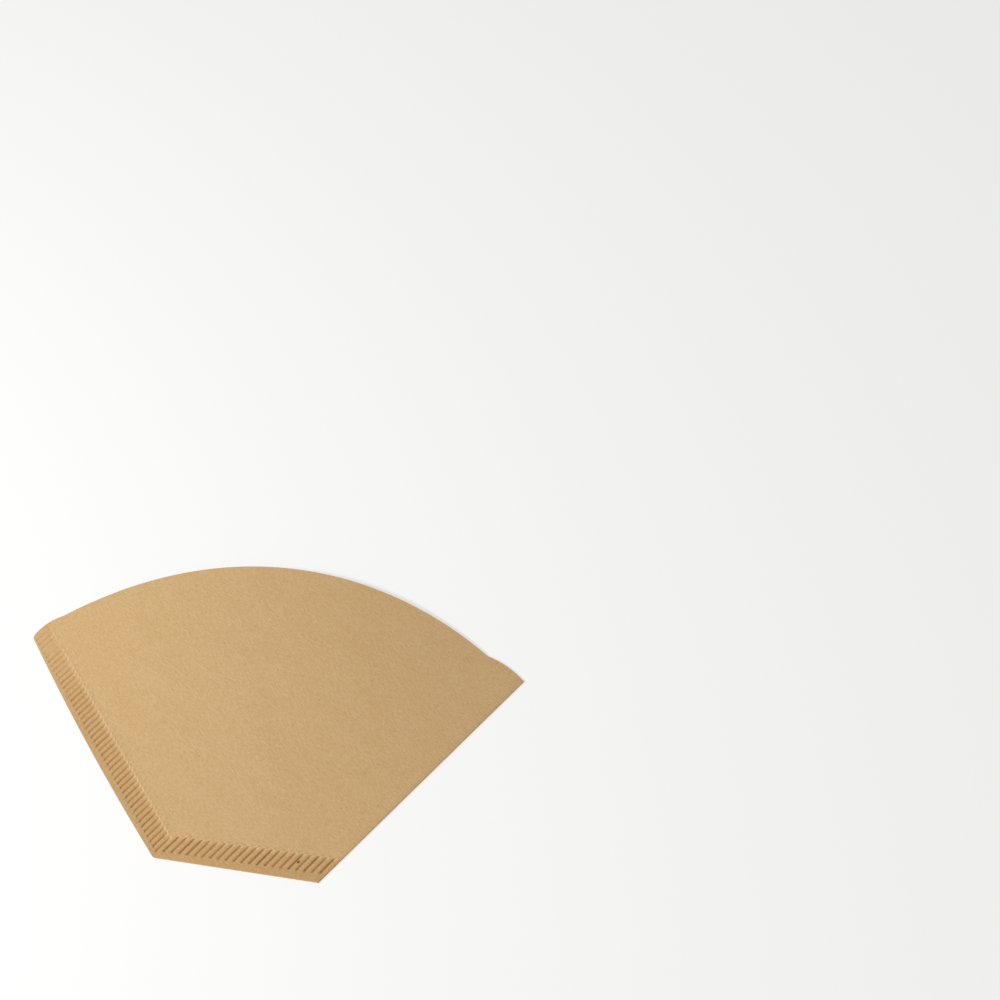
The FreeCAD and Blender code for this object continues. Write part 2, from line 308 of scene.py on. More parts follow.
class SheetPlan:
    """The flat filter in columns: q runs inwards from the fold, t up along a column. Columns at
    the fold are parallel to it. From the first bar on they are turned with the crimp."""

    def __init__(self, cut, crimp):
        self.cut = cut
        self.crimp = crimp
        self.up = leaning(cut.fold_lean)
        self.inward = Vector((-self.up.y, self.up.x))
        self.seam_up = leaning(-cut.seam_lean)
        self.seam_in = Vector((self.seam_up.y, -self.seam_up.x))
        self.fold_foot = Vector((cut.bottom_edge / 2.0, 0.0))
        self.seam_foot = Vector((-cut.bottom_edge / 2.0, 0.0))
        self.top = crimp.relief + 2.0 * cut.thickness
        self.bend = self.top / 2.0
        self.side_slant = self.up.dot(self.seam_in)
        self.foot_slant = self.up.y
        self.place_bars()
        self.trace_outline()
        self.place_columns()

    def trace_outline(self):
        """Lower and upper edge as t over q, each by the columns at the fold and by those on the
        crimp, and the middle of the outline."""
        cut = self.cut
        centre = Vector((cut.mouth_shift, cut.mouth_height - cut.mouth_radius))
        seam_tip = self.seam_foot + self.seam_up * cut.seam_edge
        fold_tip = self.fold_foot + self.up * cut.fold_edge
        ear_end = self.on_mouth(centre, self.seam_foot + self.seam_in * cut.ear_run, self.seam_up)
        fold_end = self.on_mouth(centre, self.fold_foot + self.inward * cut.corner_run, self.up)
        bottom = [self.fold_foot, self.seam_foot]
        seam = bowed(self.seam_foot, seam_tip, cut.seam_bow, SEAM_STEPS)
        ear = bowed(seam_tip, ear_end, cut.ear_bow, EAR_STEPS)
        first = math.atan2(ear_end.y - centre.y, ear_end.x - centre.x)
        last = math.atan2(fold_end.y - centre.y, fold_end.x - centre.x)
        turns = [first + (last - first) * i / MOUTH_STEPS for i in range(1, MOUTH_STEPS)]
        mouth = [centre + Vector((math.cos(a), math.sin(a))) * cut.mouth_radius for a in turns]
        corner = bowed(fold_end, fold_tip, cut.corner_bow, CORNER_STEPS)
        lower = rounded(bottom, seam, cut.corner_round)
        around = rounded(lower, ear, cut.corner_round) + mouth + corner
        self.lower, self.upper = [], []
        for skew in (0.0, self.crimp.skew):
            places = [self.fold_place(self.pivoted(p, -skew)) for p in around]
            tip = max(range(len(places)), key=lambda i: places[i][0])
            self.lower.append(np.array(places[:tip + 1]).T)
            self.upper.append(np.array(places[tip:][::-1]).T)
            self.reach = places[tip][0]
        xs = [p.x for p in around]
        ys = [p.y for p in around]
        self.middle = Vector(((min(xs) + max(xs)) / 2.0, (min(ys) + max(ys)) / 2.0))

    def on_mouth(self, centre, foot, way):
        """Where a line running up from foot crosses the mouth's arc."""
        rel = foot - centre
        along = rel.dot(way)
        run = math.sqrt(along ** 2 - rel.dot(rel) + self.cut.mouth_radius ** 2)
        return foot + way * (run - along)

    def fold_place(self, point):
        """q and t of a point, by the columns at the fold."""
        rel = point - self.fold_foot
        return rel.dot(self.inward), rel.dot(self.up)

    def pivoted(self, point, turn):
        """Turned about the cut corner of the two seams."""
        return self.seam_foot + turned(point - self.seam_foot, turn)

    def on_crimp(self, q):
        """0 at the fold, 1 from the first bar on."""
        first_wall = self.bars[0] - self.crimp.bar_width / 2.0
        return clamped((q - self.bend) / (first_wall - self.bend))

    def place(self, q, t):
        """Point of the cut sheet."""
        point = self.fold_foot + self.inward * q + self.up * t
        return point.lerp(self.pivoted(point, self.crimp.skew), self.on_crimp(q))

    def edge(self, q, tables):
        """t of the lower or the upper edge of the outline."""
        by_fold, by_crimp = [float(np.interp(q, *table)) for table in tables]
        return by_fold + (by_crimp - by_fold) * self.on_crimp(q)

    def low(self, q):
        return self.edge(q, self.lower)

    def high(self, q):
        return self.edge(q, self.upper)

    def crossing(self, q, foot, way):
        """t where the column at q crosses a line of the crimp, given as if it weren't turned."""
        line = self.pivoted(foot, self.crimp.skew)
        along = turned(way, self.crimp.skew)
        start = self.place(q, 0.0)
        column = (self.place(q, MM) - start) / MM
        gap = line - start
        return (gap.x * along.y - gap.y * along.x) / (column.x * along.y - column.y * along.x)

    def chord(self, q, side_inset=0.0, foot_inset=0.0):
        """t of the straight line along the bottom or the side seam, drawn in by an inset."""
        foot = self.crossing(q, Vector((0.0, foot_inset)), Vector((1.0, 0.0)))
        side = self.crossing(q, self.seam_foot + self.seam_in * side_inset, self.seam_up)
        return max(foot, side)

    def band_end(self, q):
        """t of the seams' inner edge."""
        crimp = self.crimp
        return self.chord(q, crimp.side_margin + crimp.side_reach + crimp.inner_rim,
                          crimp.foot_margin + crimp.foot_reach + crimp.inner_rim)

    def place_bars(self):
        """q of each bar, from the fold outwards, and where bars start and end along t."""
        crimp = self.crimp
        cut = self.cut
        first_foot = self.seam_foot + Vector((crimp.foot_start, crimp.foot_margin))
        last_q = self.fold_place(first_foot)[0]
        self.foot_step = -crimp.foot_pitch * self.inward.x
        nearest = crimp.bar_width / 2.0 + 2.0 * self.bend
        self.foot_count = int((last_q - nearest) / self.foot_step) + 1
        self.foot_first = last_q - (self.foot_count - 1) * self.foot_step
        first_side = (self.seam_foot + self.seam_in * crimp.side_margin
                      + self.seam_up * crimp.side_start)
        self.side_first = self.fold_place(first_side)[0]
        self.side_step = crimp.side_pitch * self.seam_up.dot(self.inward)
        free = cut.seam_edge - crimp.mouth_rim - crimp.side_start
        self.side_count = int(free / crimp.side_pitch) + 1
        self.corner = (last_q + self.side_first) / 2.0
        self.foot_span = (crimp.foot_margin / self.foot_slant,
                          (crimp.foot_margin + crimp.foot_reach) / self.foot_slant)
        self.side_span = (crimp.side_margin / self.side_slant,
                          (crimp.side_margin + crimp.side_reach) / self.side_slant)
        self.bars = [self.foot_first + self.foot_step * i for i in range(self.foot_count)]
        self.bars += [self.side_first + self.side_step * i for i in range(self.side_count)]

    def place_columns(self):
        """Columns of the mesh, dense over each bar's walls; above the seams only some go on."""
        half = self.crimp.bar_width / 2.0
        wall = self.crimp.wall_run
        walls = [half - wall * i / WALL_STEPS for i in range(WALL_STEPS + 1)]
        across = sorted([-w for w in walls] + [0.0] + walls)
        self.meet = self.find_meet()
        fine_from = self.meet - FINE_RUN
        columns = [(self.bend, True), ((self.bend + self.bars[0] - half) / 2.0, False)]
        for i, bar in enumerate(self.bars):
            columns += [(bar + step, step == 0.0) for step in across]
            if i + 1 < len(self.bars):
                columns.append(((bar + self.bars[i + 1]) / 2.0, True))
        last = columns[-1][0]
        tip_steps = [1.0 - (1.0 - i / TIP_STEPS) ** 2 for i in range(1, TIP_STEPS + 1)]
        columns += [(last + (self.reach - last) * s, True) for s in tip_steps]
        columns.append((self.meet, True))
        columns.sort()
        columns = [c for c in columns
                   if c[0] == self.meet or abs(c[0] - self.meet) >= NEAR_COLUMN]
        self.columns = [q for q, _ in columns]
        self.above = [i for i, (q, goes_on) in enumerate(columns) if goes_on or q > fine_from]

    def find_meet(self):
        """q where the inner edge of the side seam runs out into the mouth."""
        near, far = self.corner, self.reach
        for _ in range(HALVINGS):
            q = (near + far) / 2.0
            if self.band_end(q) < self.high(q):
                near = q
            else:
                far = q
        return far

    def spans(self, q):
        """Start and end of the bars along a column, blended where the two seams meet."""
        room = (self.crimp.bar_width + END_ROOM) / 2.0
        free = (self.side_first - self.bars[self.foot_count - 1]) / 2.0 - room
        s = clamped((q - self.corner + free) / (2.0 * free))
        return [a + (b - a) * s for a, b in zip(self.foot_span, self.side_span)]

    def rows(self, q):
        """t of every row of a column, from the lower edge to the mouth."""
        low, high, line, inner = self.low(q), self.high(q), self.chord(q), self.band_end(q)
        start, end = self.spans(q)
        wall = self.crimp.wall_run
        steps = [i / WALL_STEPS for i in range(WALL_STEPS + 1)]
        margin = line + start
        body = end - start - 2.0 * wall
        rows = [low, low + EDGE_LIP, (low + margin) / 2.0]
        rows += [margin + wall * s for s in steps]
        rows += [margin + wall + body * s for s in BODY_ROWS]
        rows += [line + end - wall + wall * s for s in steps]
        rows += [line + end + (inner - line - end) * s for s in steps[1:]]
        rows += [inner + (high - inner) * i / PANEL_ROWS for i in range(1, PANEL_ROWS)]
        rows += [high - EDGE_LIP, high]
        kept = []
        for t in rows:
            floor = kept[-1] if kept else low
            kept.append(min(high, max(low, floor, t)))
        return kept

    def seam_weight(self, q, t):
        """1 in the crimped seams, 0 where the plies part, easing over the inner rim."""
        return eased((self.band_end(q) - t) / self.crimp.inner_rim)

    def density(self, q, t):
        """How much the seams are darkened, up to the bars' inner ends, less by the mouth: partly
        the pressed pulp's own colour, partly painted shade of the bars.
        """
        crimp = self.crimp
        inner_end = self.chord(q) + self.spans(q)[1]
        bar = (q - self.side_first) / self.side_step
        past = clamped((bar - crimp.fade_from) / (self.side_count - crimp.fade_from))
        dense_and_shade = (1.0 - past * (1.0 - crimp.mouth_share)) / crimp.bar_shade
        return dense_and_shade * eased((inner_end - t) / crimp.bar_width)

    def bow_place(self, q, t):
        """How far across and up the parted plies a point lies, both from 0 to 1."""
        side_line = self.seam_foot + self.seam_in * (self.crimp.side_margin
                                                     + self.crimp.side_reach)
        foot_line = self.crimp.foot_margin + self.crimp.foot_reach
        point = self.place(q, t)
        left = side_line.x + self.seam_up.x * (point.y - side_line.y) / self.seam_up.y
        right = self.fold_foot.x + self.up.x * (point.y - self.fold_foot.y) / self.up.y
        across = (point.x - left) / max(right - left, MM)
        up = (point.y - foot_line) / (self.cut.mouth_height - foot_line)
        return clamped(across), clamped(up)


class SheetMesh:
    """Collects points with their fields and faces, then makes one closed mesh."""

    def __init__(self, plan):
        self.plan = plan
        self.points = []
        self.fields = {name: [] for name in FIELDS + LOOKS}
        self.faces = []

    def point(self, q, t, z, upper, on_edge=False):
        plan = self.plan
        place = plan.place(q, t) - plan.middle
        across, up = plan.bow_place(q, t)
        gap = 0.0 if on_edge else min(t - plan.low(q), plan.high(q) - t)
        values = (q, t - plan.chord(q), upper, across, up, gap, plan.density(q, t))
        for name, value in zip(FIELDS + LOOKS, values):
            self.fields[name].append(value)
        self.points.append((place.x, place.y, z))
        return len(self.points) - 1

    def strips(self, first, second):
        """Quads between two rows of points of like number."""
        for i in range(len(first) - 1):
            self.faces.append((first[i], first[i + 1], second[i + 1], second[i]))

    def quads(self, side, a, b, rows):
        """Quads between two columns of points, a and b, along some of their rows."""
        for j in rows:
            self.faces.append((side[a, j], side[a, j + 1], side[b, j + 1], side[b, j]))

    def finish(self, name):
        mesh = bpy.data.meshes.new(name)
        mesh.from_pydata(self.points, [], self.faces)
        for field, values in self.fields.items():
            layer = mesh.attributes.new(field, "FLOAT", "POINT")
            layer.data.foreach_set("value", values)
        work = bmesh.new()
        work.from_mesh(mesh)
        bmesh.ops.remove_doubles(work, verts=work.verts, dist=MERGE)
        bmesh.ops.dissolve_degenerate(work, edges=work.edges, dist=MERGE)
        bmesh.ops.recalc_face_normals(work, faces=work.faces)
        for face in work.faces:
            face.smooth = True
        for edge in work.edges:
            edge.smooth = edge.calc_face_angle(math.pi) < SHARP_ANGLE
        open_edges = sum(1 for edge in work.edges if not edge.is_manifold)
        if open_edges or work.calc_volume() < 0.0:
            raise RuntimeError(f"the sheet isn't closed: {open_edges} open edges")
        work.to_mesh(mesh)
        work.free()
        return mesh


def sheet_mesh(plan):
    """The folded sheet before it is crimped: two plies, their fold and their cut edges."""
    made = SheetMesh(plan)
    thick = plan.cut.thickness
    relief = plan.crimp.relief
    columns = plan.columns
    rows = [plan.rows(q) for q in columns]
    last = len(rows[0]) - 1

    def under(q, t):
        return relief * plan.seam_weight(q, t) * plan.on_crimp(q)

    def ply_heights(q, t):
        """Inner faces of the two plies, where they part or touch: each height with its share of
        the upper face's movements."""
        weight = plan.seam_weight(q, t)
        notch = weight * PLY_NOTCH / 3.0
        ceiling = plan.top - thick + notch
        floor = relief * weight + thick - notch
        return ((ceiling, 1.0 - weight / 2.0), ((ceiling + floor) / 2.0, 0.5),
                (floor, weight / 2.0))

    # Outer faces: every column crosses the seams, and only some go on to the mouth
    upper, lower = {}, {}
    goes_on = set(plan.above)
    for i, q in enumerate(columns):
        for j, t in enumerate(rows[i]):
            if j <= BAND_ROW or i in goes_on:
                upper[i, j] = made.point(q, t, plan.top, 1.0)
                lower[i, j] = made.point(q, t, under(q, t), 0.0)
    for side in (upper, lower):
        for i in range(len(columns) - 1):
            made.quads(side, i, i + 1, range(BAND_ROW))
        for a, b in zip(plan.above, plan.above[1:]):
            fine = [side[i, BAND_ROW] for i in range(b, a - 1, -1)]
            made.faces.append([side[a, BAND_ROW + 1], side[b, BAND_ROW + 1]] + fine)
            made.quads(side, a, b, range(BAND_ROW + 1, last))

    # Inner faces, from the seams' inner edge to the mouth
    ceiling, floor = {}, {}
    for i in plan.above:
        q = columns[i]
        notch = min(PLY_NOTCH, (plan.high(q) - plan.low(q)) / 2.0)
        tuck = min(rows[i][BAND_ROW], rows[i][last] - notch)
        ceiling[i, BAND_ROW] = made.point(q, tuck, *ply_heights(q, tuck)[1])
        floor[i, BAND_ROW] = ceiling[i, BAND_ROW]
        for j in range(BAND_ROW + 1, last + 1):
            t = rows[i][j]
            high, _, low = ply_heights(q, t)
            ceiling[i, j] = made.point(q, t, *high)
            floor[i, j] = made.point(q, t, *low)
    for side in (ceiling, floor):
        for a, b in zip(plan.above, plan.above[1:]):
            made.quads(side, a, b, range(BAND_ROW, last))

    # Cut edge of the mouth
    for skin, lining in ((upper, ceiling), (lower, floor)):
        made.strips([skin[i, last] for i in plan.above], [lining[i, last] for i in plan.above])

    # Cut edge of the bottom and the side seam, notched where the two plies meet
    edge_rows = [[], [], []]
    for i, q in enumerate(columns):
        t = rows[i][0]
        notch = min(PLY_NOTCH, (plan.high(q) - plan.low(q)) / 2.0)
        high, middle, low = ply_heights(q, t)
        edge_rows[0].append(made.point(q, t, *high, True))
        edge_rows[1].append(made.point(q, t + notch, *middle, True))
        edge_rows[2].append(made.point(q, t, *low, True))
    across = range(len(columns))
    levels = [[upper[i, 0] for i in across]] + edge_rows + [[lower[i, 0] for i in across]]
    for first, second in zip(levels, levels[1:]):
        made.strips(first, second)

    # The fold: both faces of the paper bend half round
    inner_bend = plan.bend - thick
    outer = [[upper[0, j] for j in range(last + 1)]]
    inner = [[ceiling[0, j] for j in range(BAND_ROW, last + 1)]]
    for k in range(1, BEND_STEPS):
        turn = math.pi * k / BEND_STEPS
        share = 1.0 - k / BEND_STEPS
        q = plan.bend * (1.0 - math.sin(turn))
        z = plan.bend * (1.0 + math.cos(turn))
        outer.append([made.point(q, t, z, share) for t in plan.rows(q)])
        q = plan.bend - inner_bend * math.sin(turn)
        z = plan.bend + inner_bend * math.cos(turn)
        lining = [made.point(q, t, z, share) for t in plan.rows(q)[BAND_ROW + 1:]]
        inner.append([ceiling[0, BAND_ROW]] + lining)
    outer.append([lower[0, j] for j in range(last + 1)])
    inner.append([floor[0, j] for j in range(BAND_ROW, last + 1)])
    for bend in (outer, inner):
        for first, second in zip(bend, bend[1:]):
            made.strips(first, second)
    made.strips([line[-1] for line in outer], [line[-1] for line in inner])
    made.faces.append([line[0] for line in outer] + [row[0] for row in reversed(edge_rows)])
    return made.finish("filter_sheet")


def add_node(tree, kind, inputs=(), **settings):
    """Adds one node. Its inputs go by place or by name, and each is a value, an output socket,
    or a node, which stands for its own first live output."""
    node = tree.nodes.new(kind)
    for name, value in settings.items():
        setattr(node, name, value)
    for key, value in (inputs.items() if isinstance(inputs, dict) else enumerate(inputs)):
        if isinstance(value, bpy.types.Node):
            value = next(output for output in value.outputs if output.enabled)
        if isinstance(value, bpy.types.NodeSocket):
            tree.links.new(value, node.inputs[key])
        else:
            node.inputs[key].default_value = value
    return node


def crimp_tree():
    """Presses the bars along the seams, then bows and cockles the upper ply."""
    tree = bpy.data.node_groups.new("crimp_and_bow", "GeometryNodeTree")
    sockets = tree.interface
    sockets.new_socket("Geometry", in_out="OUTPUT", socket_type="NodeSocketGeometry")
    sockets.new_socket("Geometry", in_out="INPUT", socket_type="NodeSocketGeometry")
    for name in ("Corner", "Bar width", "Wall run", "Depth", "Relief",
                 "Side first", "Side step", "Side start", "Side end",
                 "Foot first", "Foot step", "Foot start", "Foot end",
                 "Rim", "Dot run", "Gape", "Cockle height", "Cockle size"):
        socket = sockets.new_socket(name, in_out="INPUT", socket_type="NodeSocketFloat")
        socket.subtype = "DISTANCE"
    for name in ("Spread", "Mouth share", "Foot share", "Bead share", "Bar shade"):
        sockets.new_socket(name, in_out="INPUT", socket_type="NodeSocketFloat")
    for name in ("Side bars", "Foot bars", "Fade from", "First faint", "Last faint", "Seed"):
        sockets.new_socket(name, in_out="INPUT", socket_type="NodeSocketInt")
    sockets.new_socket("Paper", in_out="INPUT", socket_type="NodeSocketMaterial")

    # Every value by its name: the group's inputs, the mesh's fields and what is worked out. A
    # row of a table below gives a name, an operation, and its terms, as names or numbers.
    at = dict(add_node(tree, "NodeGroupInput").outputs.items())
    for name in FIELDS + ("dense_and_shade",):
        node = add_node(tree, "GeometryNodeInputNamedAttribute", {"Name": name},
                        data_type="FLOAT")
        at[name] = node.outputs["Attribute"]
    at["on side"] = add_node(tree, MATH, (at["from_fold"], at["Corner"]),
                             operation="GREATER_THAN")
    for name in ("first", "step", "start", "end", "bars"):
        at[name] = add_node(tree, "GeometryNodeSwitch",
                            {"Switch": at["on side"], "False": at["Foot " + name],
                             "True": at["Side " + name]}, input_type="FLOAT")

    for name, operation, *terms in (
            # Which bar a point is nearest to, counted from the fold or the seams' corner
            ("past first", "SUBTRACT", "from_fold", "first"),
            ("steps", "DIVIDE", "past first", "step"),
            ("nearest", "ROUND", "steps"),
            ("not before", "MAXIMUM", "nearest", 0.0),
            ("last", "SUBTRACT", "bars", 1.0),
            ("count", "MINIMUM", "not before", "last"),
            ("bar line", "MULTIPLY", "count", "step"),
            ("from line", "SUBTRACT", "past first", "bar line"),
            ("beside", "ABSOLUTE", "from line"),
            # Where its rounded walls and its bead begin and end
            ("half", "MULTIPLY", "Bar width", 0.5),
            ("flat half", "SUBTRACT", "half", "Wall run"),
            ("start inside", "ADD", "start", "Wall run"),
            ("end inside", "SUBTRACT", "end", "Wall run"),
            ("bead top", "MULTIPLY_ADD", "Rim", BEAD_PLACE, "end"),
            ("bead foot", "ADD", "Rim", "end"),
            ("bead half", "MULTIPLY", "half", BEAD_HALF),
            # Its number among all the bars and among the side's, and its least strength
            ("earlier", "MULTIPLY", "on side", "Foot bars"),
            ("bar number", "ADD", "count", "earlier"),
            ("side count", "MULTIPLY", "count", "on side"),
            ("least", "SUBTRACT", 1.0, "Spread"),
            # A few near the mouth are hardly pressed, but for a dot at the outer end. Bars
            # count from 1 here, and the half keeps the comparison clear of whole numbers.
            ("past number", "ADD", "count", 1.0 + 0.5),
            ("before number", "ADD", "count", 1.0 - 0.5),
            ("from first", "GREATER_THAN", "past number", "First faint"),
            ("to last", "LESS_THAN", "before number", "Last faint"),
            ("between", "MULTIPLY", "from first", "to last"),
            ("faint", "MULTIPLY", "between", "on side"),
            ("dot end", "ADD", "start", "Dot run"),
            ("past dot", "GREATER_THAN", "along_bar", "dot end"),
            ("skipped", "MULTIPLY", "faint", "past dot"),
            ("kept", "MULTIPLY_ADD", "skipped", -FAINT_LOSS, 1.0),
            # The bottom bars' depth, and the cockles' scale
            ("foot depth", "MULTIPLY", "Depth", "Foot share"),
            ("cockle scale", "DIVIDE", 1.0, "Cockle size")):
        at[name] = add_node(tree, MATH, [at.get(term, term) for term in terms],
                            operation=operation, label=name)

    # Rounded slopes, from 0 at one place to 1 at the other
    for name, value, outside, inside in (
            ("across bar", "beside", "half", "flat half"),
            ("outer end", "along_bar", "start", "start inside"),
            ("inner end", "along_bar", "end", "end inside"),
            ("across bead", "beside", "half", "bead half"),
            ("bead rise", "along_bar", "end inside", "bead top"),
            ("bead fall", "along_bar", "bead foot", "bead top")):
        at[name] = add_node(tree, "ShaderNodeMapRange",
                            {"Value": at[value], "From Min": at[outside],
                             "From Max": at[inside]},
                            interpolation_type="SMOOTHSTEP", label=name)

    # Each bar is pressed a little differently, and less and less towards the mouth
    at["chance"] = add_node(tree, "FunctionNodeRandomValue",
                            {LEAST: at["least"], MOST: 1.0, "ID": at["bar number"],
                             "Seed": at["Seed"]}, data_type="FLOAT")
    at["faded"] = add_node(tree, "ShaderNodeMapRange",
                           {"Value": at["side count"], "From Min": at["Fade from"],
                            "From Max": at["Side bars"], "To Min": 1.0,
                            "To Max": at["Mouth share"]})
    at["upper depth"] = add_node(tree, "GeometryNodeSwitch",
                                 {"Switch": at["on side"], "False": at["foot depth"],
                                  "True": at["Depth"]}, input_type="FLOAT")
    at["ply depth"] = add_node(tree, "ShaderNodeMapRange",
                               {"Value": at["upper"], "To Min": at["Relief"],
                                "To Max": at["upper depth"]})
    at["cockle"] = add_node(tree, "ShaderNodeTexNoise",
                            {"Vector": add_node(tree, "GeometryNodeInputPosition"),
                             "Scale": at["cockle scale"], "Detail": 1.0, "Roughness": 0.4},
                            noise_dimensions="3D")

    for name, operation, *terms in (
            # How far a bar presses each ply down
            ("pressed", "MULTIPLY", "across bar", "outer end"),
            ("pressed", "MULTIPLY", "pressed", "inner end"),
            ("strength", "MULTIPLY", "chance", "faded"),
            ("strength", "MULTIPLY", "strength", "kept"),
            ("full", "MULTIPLY", "pressed", "strength"),
            ("down", "MULTIPLY", "full", "ply depth"),
            # The paper is crowded up beyond the bars' inner ends, into a bead before each bar
            ("bead", "MULTIPLY", "bead rise", "bead fall"),
            ("bead", "MULTIPLY", "bead", "across bead"),
            ("bead", "MULTIPLY", "bead", "Bead share"),
            ("bead", "MULTIPLY", "bead", "strength"),
            ("bead", "MULTIPLY", "bead", "upper depth"),
            # The upper ply bows up towards the mouth
            ("across turn", "MULTIPLY", "across", math.pi),
            ("wave", "SINE", "across turn"),
            ("across bow", "MULTIPLY", "wave", "wave"),
            ("up bow", "POWER", "up", BOW_POWER),
            ("bow", "MULTIPLY", "across bow", "up bow"),
            ("lift", "MULTIPLY", "bow", "Gape"),
            # Its gentle cockles die out at its edges
            ("even", "MULTIPLY_ADD", "cockle", 2.0, -1.0),
            ("up turn", "MULTIPLY", "up", math.pi),
            ("up wave", "SINE", "up turn"),
            ("free", "MULTIPLY", "wave", "up wave"),
            ("waves", "MULTIPLY", "even", "Cockle height"),
            ("ripple", "MULTIPLY_ADD", "waves", "free", "lift"),
            ("ripple", "ADD", "ripple", "bead"),
            ("raised", "MULTIPLY", "ripple", "upper"),
            ("change", "SUBTRACT", "raised", "down"),
            # Painted shade of the grooves: the seams' darkening grows in each bar as it is
            # pressed
            ("more", "ADD", "Bar shade", -1.0),
            ("more", "MULTIPLY_ADD", "more", "full", 1.0),
            ("denser_and_shaded", "MULTIPLY", "dense_and_shade", "more")):
        at[name] = add_node(tree, MATH, [at.get(term, term) for term in terms],
                            operation=operation, label=name)

    offset = add_node(tree, "ShaderNodeCombineXYZ", {"Z": at["change"]})
    moved = add_node(tree, "GeometryNodeSetPosition",
                     {"Geometry": at["Geometry"], "Offset": offset})
    # The seams' darkening, with the painted shade of the grooves, is stored for the material
    marked = add_node(tree, "GeometryNodeStoreNamedAttribute",
                      {"Geometry": moved, "Name": "dense_and_shade", "Value": at["denser_and_shaded"]},
                      data_type="FLOAT", domain="POINT")
    real = add_node(tree, "GeometryNodeRealizeInstances", {"Geometry": marked})
    finished = add_node(tree, "GeometryNodeSetMaterial",
                        {"Geometry": real, "Material": at["Paper"]})
    add_node(tree, "NodeGroupOutput", {"Geometry": finished})
    return tree


def set_inputs(modifier, values):
    """Sets a node modifier's inputs by their sockets' identifiers."""
    for item in modifier.node_group.interface.items_tree:
        if item.in_out == "INPUT" and item.name in values:
            modifier[item.identifier] = values[item.name]


